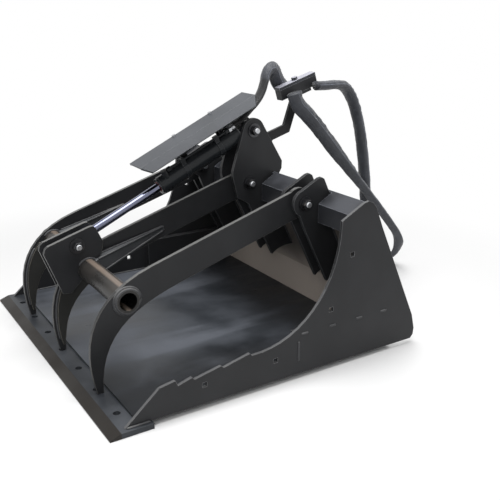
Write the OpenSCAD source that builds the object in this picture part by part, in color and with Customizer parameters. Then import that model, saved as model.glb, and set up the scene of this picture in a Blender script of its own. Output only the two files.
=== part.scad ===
// Grapple bucket for a compact utility loader: a flat-floored bucket with a hydraulic three-tine grapple.
// Millimetres. X runs across the bucket, the cutting edge faces -Y, and Z is up.

/* [Bucket] */
// Width over the outer faces of the side plates
bucket_w = 1090; // [900:5:1300]
// Depth from the cutting edge to the rear corner of the side plates
bucket_depth = 1090; // [1040:5:1150]
// Height of the side plates above the cutting edge plate
side_h = 507; // [480:1:540]
// Thickness of the side plates
side_t = 9.5; // [6:0.5:12]
// Thickness of the floor and back sheet
floor_t = 6.4; // [5:0.2:10]
// Height of the upright strip at the rear of the floor
kick_h = 122; // [80:1:150]
// Distance from the side plates' rear corner forward to the upright strip
kick_inset = 102; // [90:1:130]
// Thickness of the ribs behind the back sheet
rib_t = 8; // [5:0.5:12]
// Width of each wear runner under the floor
runner_w = 76; // [40:1:100]

/* [Cutting edge] */
// How far the cutting edge stands out past each side plate
edge_overhang = 14; // [5:1:25]
// Depth of the cutting edge plate
edge_d = 127; // [110:1:150]
// Thickness of the cutting edge plate
edge_t = 16; // [12:1:20]
// Depth of the ground bevel
bevel_d = 33; // [20:1:40]
// Thickness left at the front of the bevel
nose_t = 4; // [2:0.5:6]
// Distance from the front of the edge back to the floor sheet
floor_setback = 89; // [80:1:100]
// Spacing of the holes along the cutting edge
edge_hole_pitch = 152.4; // [140:0.1:160]
// Radius of the holes along the cutting edge
edge_hole_r = 11; // [8:0.5:14]
// Distance of the hole row from the front of the edge
edge_hole_y = 61; // [50:1:70]

/* [Top rail] */
// Thickness of the folded rail
rail_t = 6.4; // [5:0.2:9]
// Height of the rail's front lip
rail_lip_h = 60; // [40:1:75]
// Gap left in the rail beside each ear pair
rail_gap = 12; // [6:1:20]

/* [Coupler] */
// Width of the mounting plate
coupler_w = 560; // [480:1:620]
// Thickness of the mounting plate
coupler_t = 8; // [6:0.5:12]
// How far the top lip reaches back
lip_reach = 36; // [25:1:45]
// How far the lower ledge reaches back
ledge_reach = 38; // [34:1:40]
// Spacing of the lock pin holes
lock_pitch = 360; // [300:1:420]
// Radius of the lock pin holes
lock_r = 14.3; // [10:0.1:15]

/* [Ears] */
// Distance of the outer grapple arms from the middle one
arm_pitch = 330; // [300:1:360]
// Thickness of the ear plates
ear_t = 12.7; // [9:0.1:16]
// Clear gap between the ears of an outer pair
ear_gap = 50.8; // [44:0.1:60]
// Clear gap between the ears of the middle pair
mid_ear_gap = 64; // [62:0.5:72]
// Radius of the ear round the grapple hinge
hinge_lobe_r = 42; // [36:1:46]
// Radius of the ear round the cylinder base pin
base_lobe_r = 41; // [36:1:44]

/* [Grapple] */
// Distance of the grapple hinge forward from the side plates' rear corner
hinge_inset = 336; // [325:1:350]
// Height of the grapple hinge
hinge_z = 490; // [480:1:500]
// Thickness of the arm plates
arm_t = 12.7; // [9:0.1:16]
// Height of each straight arm
arm_h = 90; // [80:1:100]
// Thickness of the plate welded to the side of a tine
tine_plate_t = 12.7; // [9:0.1:14]
// Radius of the cross tube
tube_r = 35; // [30:0.5:38]
// Wall of the cross tube
tube_wall = 8.5; // [5:0.5:12]
// How far the cross tube stands out past an outer arm
tube_stub = 9; // [6:1:40]
// Outer radius of the tubular hubs at the hinge
hub_r = 25; // [22:0.5:28]
// Outer radius of the bushes in the hubs
bush_r = 16; // [13:0.5:19]

/* [Cylinder] */
// Distance of the cylinder base pin forward from the side plates' rear corner
base_inset = 318; // [310:1:325]
// Height of the cylinder base pin
base_z = 672; // [660:1:680]
// Depth of the rod pin behind the cutting edge
rod_y = 127; // [120:1:134]
// Height of the rod pin
rod_z = 368; // [362:1:374]
// Outer radius of the cylinder barrel
barrel_r = 30; // [27:0.5:31]
// Bore radius of the barrel
bore_r = 25.4; // [22:0.1:26]
// Radius of the chrome rod
rod_r = 14; // [11:0.5:16]
// Distance from the base pin to the front of the barrel
barrel_end = 374; // [360:1:390]

/* [Pins] */
// Radius of the pivot bolts
pin_r = 9.525; // [8:0.005:12]
// Running clearance of the pivots
pin_fit = 0.06; // [0.02:0.01:0.09]
// Radius of the large washers
washer_r = 24; // [20:0.5:26]
// Thickness of the large washers
washer_t = 4; // [2:0.5:5]
// Height of the nuts on the pivot bolts
nut_h = 16.5; // [12:0.5:20]

/* [Guard and hoses] */
// Length of the cylinder guard
guard_l = 474; // [440:1:500]
// Width of the guard's flat top
guard_w = 84; // [70:1:92]
// Width of each splayed flange
guard_flange = 36; // [25:1:45]
// Thickness of the guard
guard_t = 5; // [3:0.5:6]
// Height of the guard above the cylinder's axis
guard_rise = 106; // [98:1:112]
// Width of the sleeve that jumps from the cylinder to the hose clamp
jumper_w = 50; // [40:1:54]
// Thickness of that sleeve where it turns down to the hose clamp
jumper_t = 58; // [50:1:60]

/* [Hidden] */
$fn = 64;

// One overrun for cuts and one seam between pieces that touch
over = 2;
seam = 0.3;
steel = "#242628";
dark = "#17181a";
zinc = "#b9bcc0";
chrome = "#c9ced6";
bronze = "#8c6b3c";
rubber = "#8a3b2a";
textile = "#3a3f47";

// The side plate's outline, as shares of the bucket's depth and the plate's height
front_shares = [[0.044, 0], [0.14, 0.179], [0.184, 0.196], [0.191, 0.161], [0.231, 0.186],
    [0.238, 0.169], [0.315, 0.204], [0.324, 0.189], [0.403, 0.229]];
sweep_shares = [[0.41, 0.212], [0.559, 0.199], [0.697, 0.46], [0.699, 0.905]];
rear_shares = [[0.704, 0.912], [0.772, 0.99], [0.79, 1], [0.806, 0.985], [0.8205, 0.945],
    [0.844, 0.825], [0.988, 0.169], [1, 0.069], [0.998, 0.025], [0.988, 0]];
hole_shares = [[0.739, 0.687], [0.671, 0.364], [0.485, 0.134], [0.266, 0.119]];
sweep_steps = 14;
side_hole = 15;
side_x = bucket_w / 2;
inner_x = side_x - side_t;
edge_x = side_x + edge_overhang;
floor_z = edge_t;
edge_margin = 60;
hole_steps = floor((edge_x - edge_margin) / edge_hole_pitch);
hinge_y = bucket_depth - hinge_inset;
base_y = bucket_depth - base_inset;
floor_top = floor_z + floor_t;
function side_at(share) = [share[0] * bucket_depth, edge_t + share[1] * side_h];

// The rear slope: the side plates, back sheet and mounting plate all lie along it
slope_top = side_at(rear_shares[5]);
slope_foot = side_at(rear_shares[6]);
rear_slope = (slope_foot[0] - slope_top[0]) / (slope_top[1] - slope_foot[1]);
rear_angle = atan(rear_slope);
kick_y = bucket_depth - kick_inset;
kick_z = floor_top + kick_h;
function rear_y(z) = slope_foot[0] - rear_slope * (z - slope_foot[1]);
function back_y(z) = kick_y - rear_slope * (z - kick_z);

// The top rail's fold lines, from the grapple hinge
rail_behind = 44;
rail_below = 5;
rail_run = 58;
rail_rise = 34;
rail_tail = 60;
back_below = 12;
rail_y = hinge_y + rail_behind;
rail_z = hinge_z - rail_below;
rail_peak_y = rail_y + rail_run;
rail_peak_z = rail_z + rail_rise;
back_top_z = rail_z - back_below;

// The mounting plate lies inside the rear edges of the side plates
mount_inset = 16;
mount_lift = 22;
mount_drop = 82;
mount_low_z = slope_foot[1] + mount_lift;
mount_high_z = rail_peak_z - mount_drop;
mount_depth = coupler_t / cos(rear_angle);
lip_t = 8;
lip_drop = 40;
lip_run = 10;
ledge_t = 9.5;
rib_shares = [-0.94, -0.5, 0, 0.5, 0.94];
function mount_y(z) = rear_y(z) - mount_inset;

// The boxes inside the rear corners, tabbed through the side plates
box_in = 26;
box_t = 5;
box_shares = [0.557, 0.253];
box_front_y = side_at(box_shares)[0];
box_z = side_at(box_shares)[1];
box_l = back_y(box_z + box_t) - box_front_y;
tab_l = 22;
tab_shares = [0.07, 0.35, 0.63, 0.9];

runner_shares = [-0.78, 0, 0.78];
runner_gap = 12;
runner_inset = 26;
runner_front = edge_d + runner_gap;
runner_rear = kick_y - runner_inset;

// Ear outlines, as shares of the ear's drop below the hinge, measured from the hinge
ear_drop = 280;
neck_shares = [-0.011, -0.264];
tail_shares = [0.354, -1];
arch_share = 0.093;
low_top_shares = [[-0.1, 0.114], [0.186, 0.264], [0.229, 0.271], [0.264, 0.25], [0.34, 0.093],
    [0.34, -0.014]];
mid_front_shares = [[-0.236, 0.175], [-0.239, 0.1], [-0.171, -0.168]];
mid_rear_shares = [[0.357, -0.007], [0.446, 0.071], [0.482, 0.136], [0.486, 0.229]];
mid_turns = [28, 160];
arch_steps = 8;
mid_ear_in = mid_ear_gap / 2;
mid_ear_out = mid_ear_in + ear_t;
low_ear_in = ear_gap / 2;
low_ear_out = low_ear_in + ear_t;
function ear_at(share) = [hinge_y + share[0] * ear_drop, hinge_z + share[1] * ear_drop];
ear_neck = ear_at(neck_shares);
ear_tail_end = ear_at(tail_shares);
ear_arch = arch_share * ear_drop;

// Tine and arm outline: two curves that run into the straight arm
tip_y = 54;
tip_gap = 1;
tip_w = 18;
arm_top = 40;
belly_front_shares = [0.013, 0.388];
belly_back_shares = [0.093, 0.388];
bend_share = 0.37;
tine_steps = 12;
arm_lobe_r = 44;
tube_y = 160;
tube_z = 284;
tube_reach = norm([hinge_y - tube_y, hinge_z - tube_z]);
tube_droop = 1.83;
arm_slope = atan2(hinge_z - tube_z, hinge_y - tube_y) - tube_droop;
arm_top_share = 0.8303;
arm_low_share = 0.7348;
arm_top_l = arm_top_share * tube_reach;
arm_low_l = arm_low_share * tube_reach;
weld_w = 6;
collar_w = 5;
plate_in = 12;
plate_lift = 24;
plate_rear_share = 0.9;
tip_z = edge_t + tip_gap;
weld_r = tube_r + weld_w;
arm_x = [arm_pitch, 0, -arm_pitch];
arm_side = arm_pitch - arm_t / 2;
plate_foot_z = tip_z + plate_lift;
hinge = [hinge_y, hinge_z];
arm_dir = [cos(arm_slope), sin(arm_slope)];
arm_up = [-sin(arm_slope), cos(arm_slope)];
function arm_at(l, h) = hinge - l * arm_dir + h * arm_up;
function belly_at(share) = [share[0] * hinge_y, share[1] * hinge_z];
tine_front = [[tip_y, tip_z], belly_at(belly_front_shares),
    arm_at((1 + bend_share) * arm_top_l, arm_top), arm_at(arm_top_l, arm_top)];
tine_back = [[tip_y + tip_w, tip_z], belly_at(belly_back_shares),
    arm_at((1 + bend_share) * arm_low_l, arm_top - arm_h), arm_at(arm_low_l, arm_top - arm_h)];

// Gussets that taper along the arms behind the cross tube
gusset_l = 290;
gusset_out = 44;
gusset_h = 48;
gusset_tip_h = 12;
gusset_tip = 3;
gusset_sink = 10;

// Rod clevis, as shares of its length from the rod pin
clevis_l = 191;
clevis_t = 12.7;
clevis_shares = [[-0.55, -0.058], [-0.524, 0.021], [-0.476, 0.063], [0.236, 0.283], [0.298, 0.288],
    [0.34, 0.246], [0.45, 0], [0.414, -0.199], [0.12, -0.524], [-0.152, -0.796], [-0.293, -0.785]];
clevis_in = arm_t / 2 + tine_plate_t;
clevis_out = clevis_in + clevis_t;
eye_r = 27;
eye_side = 0.6;
eye_w = 2 * (clevis_in - eye_side);
eye_bush_r = 14;

// Cylinder lengths, measured along its axis from the base pin
cyl_tilt = atan2(base_z - rod_z, base_y - rod_y);
cyl_len = norm([base_y - rod_y, base_z - rod_z]);
base_eye_r = 29;
base_neck = 22;
base_eye_w = 40;
base_cap_l = 20;
barrel_start = 44;
gland_l = 30;
gland_r = 27;
gland_lip = 6;
wiper_w = 4;
piston_l = 28;
piston_gap = 8;
seal_w = 3;
groove_d = 2;
rod_thread = 20;
line_rise = 9;
line_r = 5;
line_x = 14;
line_back = 28;
line_rear = 76;
port_r = 11;
port_h = 16;
fitting_r = 11;
fitting_l = 26;
clamp_first = 130;
clamp_pitch = 142;
clamp_w = 16;
band = 3;
line_n = barrel_r + line_rise;
line_front = barrel_end - line_back;
clamp_places = [clamp_first, clamp_first + clamp_pitch];
post_first = 91;
post_pitch = 152;
post_places = [post_first, post_first + post_pitch];
post_w = 24;
post_t = 5;
post_out = 1;
guard_rear = 55;
guard_front = guard_l - guard_rear;
guard_splay = 45;
guard_corner = 36;
bolt_inset = 7;
bolt_r = 6.5;
bolt_h = 5;
bolt_x = -guard_w / 2 + bolt_inset;
post_x = -barrel_r - post_out;

// Pins: how far each reaches past the plates
head_h = 12;
hex_r = 16.5;
pin_end = 5;
base_reach = mid_ear_out + washer_t;
clevis_reach = clevis_out + washer_t;

// Hose clamp behind the ears
clamp_inset = 108;
clamp_rise = 144;
clamp_y = bucket_depth - clamp_inset;
clamp_z = base_z + clamp_rise;
clamp_tilt = 17.5;
block_l = 161;
block_w = 32;
block_x = -11;
block_h = 36;
cap_t = 10;
cap_bolt = 11;
bracket_t = 10;
bracket_w = 34;
bracket_shares = [[0.29, -0.993], [0.541, -0.224], [0.884, -0.07]];
function clamp_at(y, z) = [clamp_y + y * cos(clamp_tilt) - z * sin(clamp_tilt),
    clamp_z + y * sin(clamp_tilt) + z * cos(clamp_tilt)];
bracket_path = concat([for (s = bracket_shares)
    [base_y + s[0] * (clamp_y - base_y), base_z + s[1] * (clamp_z - base_z)]],
    [clamp_at(bracket_w, 0)]);

// Sections of the sleeved hoses, and their routes in the order across, back from the rear corner,
// up. The tails' heights are those for a clamp at route_z. The jumper starts along and out from the
// cylinder's base pin, and goes on across, back from the rear corner and up from that pin. The rows
// of the share tables give a place along the route and the share of the width or thickness there
near_w = 44;
near_t = 60;
far_w = 50;
far_t = 34;
route_z = 816;
full_shares = [[0, 1]];
near_w_shares = [[0, 1], [0.55, 1], [0.78, 0.91]];
near_t_shares = [[0, 1], [0.55, 1], [0.78, 0.433]];
jumper_t_shares = [[0, 0.41], [0.5, 0.48], [0.64, 0.66], [0.71, 0.83], [0.79, 0.97], [1, 1]];
jumper_start_route = [[48, 43], [20, 40], [-4, 44.4], [-29, 52.6]];
jumper_loop_route = [[0, -289, 82], [0, -269, 105], [0, -256, 128], [0, -247, 153], [-3, -239, 176],
    [-8, -225, 194], [-16, -206, 197], [-30, -187, 183], [-44, -169, 162], [-52.3, -152, 142],
    [-52.3, -133, 121]];
jumper_route = concat([for (p = jumper_start_route)
    [0, -base_inset - p[0] * cos(cyl_tilt) - p[1] * sin(cyl_tilt),
        base_z - p[0] * sin(cyl_tilt) + p[1] * cos(cyl_tilt)]],
    [for (p = jumper_loop_route) [p[0], p[1], base_z + p[2]]]);
near_route = [[27.3, -140, 784], [27.3, -135, 768], [26, -121, 743], [25, -91, 716], [24, -47, 674],
    [22, 3, 621], [20, 63, 556], [20, 139, 473], [20, 219, 385], [20, 294, 303], [20, 357, 232],
    [17, 406, 172], [4, 437, 119], [-32, 455, 66], [-90, 459, 28], [-150, 456, 14], [-220, 452, 13],
    [-300, 447, 16], [-370, 446, 17]];
far_route = [[30.4, -46, 804], [30, -20, 803], [26, 14, 802], [16, 54, 801], [3, 94, 795],
    [-11, 132, 774], [-20, 166, 735], [-24, 194, 676], [-24, 216, 606], [-25, 234, 523],
    [-26, 250, 436], [-28, 264, 350], [-32, 280, 266], [-42, 300, 186], [-66, 322, 112],
    [-108, 342, 58], [-166, 356, 26], [-235, 363, 18], [-300, 367, 17], [-370, 368, 17]];
function lifted(route) = [for (p = route) [p[0], p[1], p[2] * clamp_z / route_z]];
jumper_steps = 1;
tail_steps = 2;
tube_sides = 10;
coupler_l = 84;
coupler_r = 17;

// A smooth curve between four points
function bezier(p, steps) = [for (i = [0:steps]) let (t = i / steps, s = 1 - t)
    s * s * s * p[0] + 3 * s * s * t * p[1] + 3 * s * t * t * p[2] + t * t * t * p[3]];
function reversed(p) = [for (i = [len(p) - 1:-1:0]) p[i]];
function unit(v) = v / norm(v);

// The outline of a sheet of thickness t folded along the points p
function normal_at(p, i) = let (
        a = unit(i == 0 ? p[1] - p[0] : p[i] - p[i - 1]),
        b = unit(i == len(p) - 1 ? p[i] - p[i - 1] : p[i + 1] - p[i]),
        n = unit([-a[1] - b[1], a[0] + b[0]]))
    n / (n * [-a[1], a[0]]);
function folded(p, t) = concat(p, reversed([for (i = [0:len(p) - 1]) p[i] + t * normal_at(p, i)]));

// A tube swept along a route, its width and thickness shared out along it; side fixes its flat side
function curve_at(p, i, t) = let (
        n = len(p) - 1,
        a = p[max(i - 1, 0)], b = p[i], c = p[min(i + 1, n)], d = p[min(i + 2, n)])
    0.5 * (2 * b + (c - a) * t + (2 * a - 5 * b + 4 * c - d) * t * t
        + (3 * b - a - 3 * c + d) * t * t * t);
function smooth_route(p, steps) = concat([for (i = [0:len(p) - 2]) for (k = [0:steps - 1])
    curve_at(p, i, k / steps)], [p[len(p) - 1]]);
function tangent_at(p, i) = unit(p[min(i + 1, len(p) - 1)] - p[max(i - 1, 0)]);
function flat_dir(t, side) = is_undef(side) ? unit(cross(t, [0, 0, 1])) : side;
module swept(route, w, t, w_shares, t_shares, steps, side) {
    path = smooth_route(route, steps);
    last = len(path) - 1;
    rings = [for (i = [0:last]) let (
            d = tangent_at(path, i), f = flat_dir(d, side), g = unit(cross(f, d)),
            out = w * lookup(i / last, w_shares) / 2, up = t * lookup(i / last, t_shares) / 2)
        for (k = [0:tube_sides - 1]) let (a = 360 * k / tube_sides)
            path[i] + f * cos(a) * out + g * sin(a) * up];
    caps = [[for (k = [0:tube_sides - 1]) k],
        [for (k = [tube_sides - 1:-1:0]) last * tube_sides + k]];
    walls = [for (i = [0:last - 1]) for (k = [0:tube_sides - 1]) let (
            m = (k + 1) % tube_sides, a = i * tube_sides, b = a + tube_sides)
        each [[a + k, b + k, b + m], [a + k, b + m, a + m]]];
    polyhedron(points = rings, faces = concat(caps, walls));
}

// Places what is measured from the cutting edge about the bucket's middle
module from_edge() { translate([0, -bucket_depth / 2, 0]) children(); }
// Places what is measured from the side plates' rear corner
module from_rear() { translate([0, bucket_depth / 2, 0]) children(); }
// Extrudes an outline drawn in depth and height across the bucket from x0 to x1
module across(x0, x1) {
    translate([x0, 0, 0]) rotate([90, 0, 90]) linear_extrude(x1 - x0) children();
}
// A round bar across the bucket at depth y and height z
module bar(x0, x1, y, z, r) {
    translate([x0, y, z]) rotate([0, 90, 0]) cylinder(h = x1 - x0, r = r);
}
module ring(x0, x1, y, z, r, hole) {
    difference() {
        bar(x0, x1, y, z, r);
        bar(x0 - over, x1 + over, y, z, hole);
    }
}
module hex(x0, x1, y, z) {
    translate([x0, y, z]) rotate([0, 90, 0]) cylinder(h = x1 - x0, r = hex_r, $fn = 6);
}
// The cylinder's own frame: across, out from its axis, and along it from the base pin
module on_cylinder() {
    translate([0, base_y, base_z]) rotate([90 + cyl_tilt, 0, 0]) children();
}
module along(u0, u1, r, x = 0, n = 0) {
    translate([x, n, u0]) cylinder(h = u1 - u0, r = r);
}

module cutting_edge() {
    color(steel) from_edge() difference() {
        across(-edge_x, edge_x)
            polygon([[0, 0], [edge_d, 0], [edge_d, edge_t], [bevel_d, edge_t], [0, nose_t]]);
        for (i = [-hole_steps:hole_steps])
            translate([i * edge_hole_pitch, edge_hole_y, -over])
                cylinder(h = edge_t + 2 * over, r = edge_hole_r);
    }
}

module floor_sheet() {
    color(steel) from_edge() translate([-inner_x, floor_setback, floor_z])
        cube([2 * inner_x, kick_y - floor_setback, floor_t]);
}

module back_sheet() {
    color(steel) from_edge() across(-inner_x, inner_x)
        polygon([[back_y(back_top_z), back_top_z], [kick_y, kick_z], [kick_y, floor_z],
            [kick_y + floor_t, floor_z], [kick_y + floor_t, kick_z],
            [back_y(back_top_z) + floor_t, back_top_z]]);
}

module side_outline() {
    polygon(concat([for (s = front_shares) side_at(s)],
        bezier([for (s = sweep_shares) side_at(s)], sweep_steps),
        [for (s = rear_shares) side_at(s)]));
}
module tab_slots(clearance) {
    for (s = tab_shares)
        translate([box_front_y + s * box_l - tab_l / 2 - clearance, box_z - clearance])
            square([tab_l + 2 * clearance, box_t + 2 * clearance]);
}
module side_plate(x0) {
    across(x0, x0 + side_t) difference() {
        side_outline();
        for (s = hole_shares) translate(side_at(s)) square(side_hole, center = true);
        tab_slots(seam);
    }
}
module side_plate_left() { color(steel) from_edge() side_plate(inner_x); }
module side_plate_right() { color(steel) from_edge() side_plate(-side_x); }

// Each box is an angle of sheet with tabs that reach through the side plate
module corner_box() {
    low = floor_top + seam;
    high = box_z + box_t;
    across(inner_x - box_in, inner_x) difference() {
        translate([box_front_y, low]) square([box_l - seam, high - low]);
        translate([box_front_y + box_t, low - over]) square([box_l, box_z - low + over]);
    }
    across(inner_x - box_in, inner_x - box_in + box_t)
        translate([box_front_y, low]) square([box_l - seam, high - low]);
    across(inner_x - box_in, side_x) tab_slots(0);
}
module corner_boxes() {
    color(steel) from_edge() {
        corner_box();
        mirror([1, 0, 0]) corner_box();
    }
}

module rail_outline() {
    polygon(folded([[rail_y, rail_z - rail_lip_h], [rail_y, rail_z], [rail_peak_y, rail_peak_z],
        [rail_peak_y + rail_tail * sin(rear_angle), rail_peak_z - rail_tail * cos(rear_angle)]],
        -rail_t));
}
module top_rail() {
    color(steel) from_edge() difference() {
        across(-inner_x, inner_x) rail_outline();
        for (x = arm_x) {
            half = ear_half(x) + rail_gap;
            translate([x - half, rail_y - over, rail_z - rail_lip_h - over])
                cube([2 * half, rail_run - rail_t + over, rail_lip_h + rail_tail]);
        }
        for (x0 = [mid_ear_in, -mid_ear_out])
            translate([x0 - seam, rail_y, ear_at(mid_rear_shares[0])[1] - seam])
                cube([ear_t + 2 * seam, rail_run + rail_tail, rail_lip_h + rail_tail]);
    }
}

// Every ear tapers down the back sheet from the hinge
function ear_half(x) = x == 0 ? mid_ear_out : low_ear_out;
module pin_hole(y, z) { translate([y, z]) circle(pin_r + pin_fit); }
module ear_tail() {
    foot_y = back_y(ear_tail_end[1] + ear_arch) - seam;
    polygon(concat([[ear_neck[0] - hinge_lobe_r / 2, hinge_z - hinge_lobe_r / 2], ear_neck],
        bezier([ear_tail_end, ear_tail_end + [ear_arch, ear_arch],
            [foot_y - ear_arch, ear_tail_end[1] + ear_arch],
            [foot_y, ear_tail_end[1] + ear_arch]], arch_steps),
        [[back_y(back_top_z) - seam, back_top_z], [rail_y, hinge_z]]));
}
module pin_bore(x0, x1, y, z) { bar(x0 - over, x1 + over, y, z, pin_r + pin_fit); }
module low_ear(x0) {
    x1 = x0 + ear_t;
    color(steel) from_edge() difference() {
        union() {
            bar(x0, x1, hinge_y, hinge_z, hinge_lobe_r);
            across(x0, x1) ear_tail();
            across(x0, x1) polygon(concat([for (s = low_top_shares) ear_at(s)],
                [[back_y(back_top_z) - seam, back_top_z], [ear_neck[0], back_top_z]]));
        }
        pin_bore(x0, x1, hinge_y, hinge_z);
    }
}
module mid_ear(x0) {
    x1 = x0 + ear_t;
    lobe = [for (a = mid_turns) [base_y + base_lobe_r * cos(a), base_z + base_lobe_r * sin(a)]];
    color(steel) from_edge() difference() {
        union() {
            bar(x0, x1, base_y, base_z, base_lobe_r);
            across(x0, x1) ear_tail();
            across(x0, x1) polygon(concat([lobe[1]], [for (s = mid_front_shares) ear_at(s)],
                [ear_neck], [[back_y(back_top_z) - seam, back_top_z]],
                [for (s = mid_rear_shares) ear_at(s)], [lobe[0]]));
        }
        pin_bore(x0, x1, hinge_y, hinge_z);
        pin_bore(x0, x1, base_y, base_z);
    }
}
module ear_left_outer() { low_ear(arm_pitch + low_ear_in); }
module ear_left_inner() { low_ear(arm_pitch - low_ear_out); }
module ear_right_inner() { low_ear(-arm_pitch + low_ear_in); }
module ear_right_outer() { low_ear(-arm_pitch - low_ear_out); }
module ear_mid_left() { mid_ear(mid_ear_in); }
module ear_mid_right() { mid_ear(-mid_ear_out); }

module coupler_plate() {
    color(steel) from_edge() across(-coupler_w / 2, coupler_w / 2)
        polygon([[mount_y(mount_high_z), mount_high_z], [mount_y(mount_low_z), mount_low_z],
            [mount_y(mount_low_z) - coupler_t * cos(rear_angle),
                mount_low_z - coupler_t * sin(rear_angle)],
            [mount_y(mount_high_z) - coupler_t * cos(rear_angle),
                mount_high_z - coupler_t * sin(rear_angle)]]);
}
module coupler_lip() {
    color(steel) from_edge() translate([0, mount_y(mount_high_z), mount_high_z])
        rotate([rear_angle, 0, 0]) across(-coupler_w / 2, coupler_w / 2)
            polygon(folded([[-coupler_t, lip_t], [lip_run, lip_t],
                [lip_run + lip_reach, lip_t - lip_drop]], -lip_t));
}
module coupler_ledge() {
    color(steel) from_edge() translate([0, mount_y(mount_low_z), mount_low_z])
        rotate([rear_angle, 0, 0]) difference() {
            translate([-coupler_w / 2, -coupler_t, -ledge_t - seam])
                cube([coupler_w, coupler_t + ledge_reach, ledge_t]);
            for (s = [-1, 1])
                translate([s * lock_pitch / 2, ledge_reach / 2, -ledge_t - over])
                    cylinder(h = ledge_t + 2 * over, r = lock_r);
        }
}
module back_ribs() {
    front_y = kick_y + floor_t + seam;
    color(steel) from_edge() for (s = rib_shares) {
        x = s * coupler_w / 2;
        across(x - rib_t / 2, x + rib_t / 2) polygon([
            [back_y(mount_high_z) + floor_t + seam, mount_high_z],
            [mount_y(mount_high_z) - mount_depth - seam, mount_high_z],
            [mount_y(mount_low_z) - mount_depth - seam, mount_low_z],
            [front_y, mount_low_z], [front_y, kick_z]]);
    }
}

module wear_runners() {
    color(steel) from_edge() for (s = runner_shares)
        translate([s * inner_x - runner_w / 2, runner_front, 0])
            cube([runner_w, runner_rear - runner_front, edge_t]);
}

// Pivot bolts run from right to left, with the head on the right
module pivot_bolt(x, reach, y, z) {
    bar(x - reach - head_h, x + reach + nut_h + pin_end, y, z, pin_r);
    hex(x - reach - head_h, x - reach, y, z);
}
module pivot_nut(x, reach, y, z) {
    difference() {
        hex(x + reach, x + reach + nut_h, y, z);
        bar(x + reach - over, x + reach + nut_h + over, y, z, pin_r + pin_fit);
    }
}
module pivot_washers(x, reach, y, z) {
    ring(x - reach, x - reach + washer_t, y, z, washer_r, pin_r + pin_fit);
    ring(x + reach - washer_t, x + reach, y, z, washer_r, pin_r + pin_fit);
}
module hinge_bolts() {
    color(zinc) from_edge()
        for (x = arm_x) pivot_bolt(x, ear_half(x) + washer_t, hinge_y, hinge_z);
}
module hinge_nuts() {
    color(dark) from_edge()
        for (x = arm_x) pivot_nut(x, ear_half(x) + washer_t, hinge_y, hinge_z);
}
module hinge_washers() {
    color(dark) from_edge()
        for (x = arm_x) pivot_washers(x, ear_half(x) + washer_t, hinge_y, hinge_z);
}
module base_bolt() { color(zinc) from_edge() pivot_bolt(0, base_reach, base_y, base_z); }
module base_nut() { color(dark) from_edge() pivot_nut(0, base_reach, base_y, base_z); }
module base_washers() { color(dark) from_edge() pivot_washers(0, base_reach, base_y, base_z); }

// An arm and its tine are one plate; the cross tube passes through a hole in it
module arm(x) {
    x0 = x - arm_t / 2;
    x1 = x + arm_t / 2;
    color(steel) from_edge() difference() {
        union() {
            across(x0, x1) polygon(concat(bezier(tine_front, tine_steps),
                [hinge + arm_top * arm_up, hinge - (arm_h - arm_top) * arm_up],
                reversed(bezier(tine_back, tine_steps))));
            bar(x0, x1, hinge_y, hinge_z, arm_lobe_r);
            bar(x0, x1, tube_y, tube_z, weld_r);
        }
        bar(x0 - over, x1 + over, hinge_y, hinge_z, hub_r);
        bar(x0 - over, x1 + over, tube_y, tube_z, tube_r);
    }
}
module arm_left() { arm(arm_pitch); }
module arm_middle() { arm(0); }
module arm_right() { arm(-arm_pitch); }

module cross_tube() {
    end = arm_pitch + arm_t / 2 + tube_stub;
    color(steel) from_edge() ring(-end, end, tube_y, tube_z, tube_r, tube_r - tube_wall);
}
module tube_collars() {
    face = arm_pitch + arm_t / 2;
    color(steel) from_edge() {
        ring(face, face + collar_w, tube_y, tube_z, weld_r, tube_r);
        ring(-face - collar_w, -face, tube_y, tube_z, weld_r, tube_r);
    }
}

// Plates on the inner faces of the outer tines and both faces of the middle one
module tine_plate_outline() {
    difference() {
        intersection() {
            polygon(concat([for (p = bezier(tine_front, tine_steps)) p + [plate_in, 0]],
                reversed([for (p = bezier(tine_back, tine_steps)) p - [plate_in / 3, 0]])));
            translate([0, plate_foot_z])
                square([tube_y + plate_rear_share * tube_r, tube_z - plate_foot_z]);
        }
        translate([tube_y, tube_z]) circle(tube_r);
    }
}
module tine_plates() {
    starts = [arm_side - tine_plate_t, arm_t / 2, -arm_t / 2 - tine_plate_t, -arm_side];
    color(steel) from_edge() for (x = starts) across(x, x + tine_plate_t) tine_plate_outline();
}

// A gusset narrows and loses height along the arm
module gusset(side, x) {
    intersection() {
        translate([0, 0, -gusset_h / 2]) linear_extrude(gusset_h) polygon([[x, gusset_sink],
            [x + side * gusset_out, gusset_sink], [x + side * gusset_tip, gusset_l], [x, gusset_l]]);
        across(x - gusset_out - over, x + gusset_out + over)
            polygon([[0, -gusset_h / 2], [gusset_l + over, -gusset_tip_h / 2],
                [gusset_l + over, gusset_tip_h / 2], [0, gusset_h / 2]]);
    }
}
module arm_gussets() {
    places = [[-1, arm_side], [1, arm_t / 2], [-1, -arm_t / 2], [1, -arm_side]];
    color(steel) from_edge() difference() {
        translate([0, tube_y, tube_z]) rotate([arm_slope, 0, 0])
            for (p = places) gusset(p[0], p[1]);
        bar(-arm_pitch, arm_pitch, tube_y, tube_z, tube_r);
        across(-clevis_out - seam, clevis_out + seam) clevis_shape();
        for (x = [arm_side - tine_plate_t, -arm_t / 2 - tine_plate_t, arm_t / 2, -arm_side])
            across(x, x + tine_plate_t) tine_plate_outline();
    }
}

module clevis_shape() { polygon([for (s = clevis_shares) [rod_y, rod_z] + s * clevis_l]); }
module clevis_outline() {
    difference() {
        clevis_shape();
        translate([tube_y, tube_z]) circle(tube_r);
        pin_hole(rod_y, rod_z);
    }
}
module clevis(x0) { color(steel) from_edge() across(x0, x0 + clevis_t) clevis_outline(); }
module clevis_left() { clevis(clevis_in); }
module clevis_right() { clevis(-clevis_out); }

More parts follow.
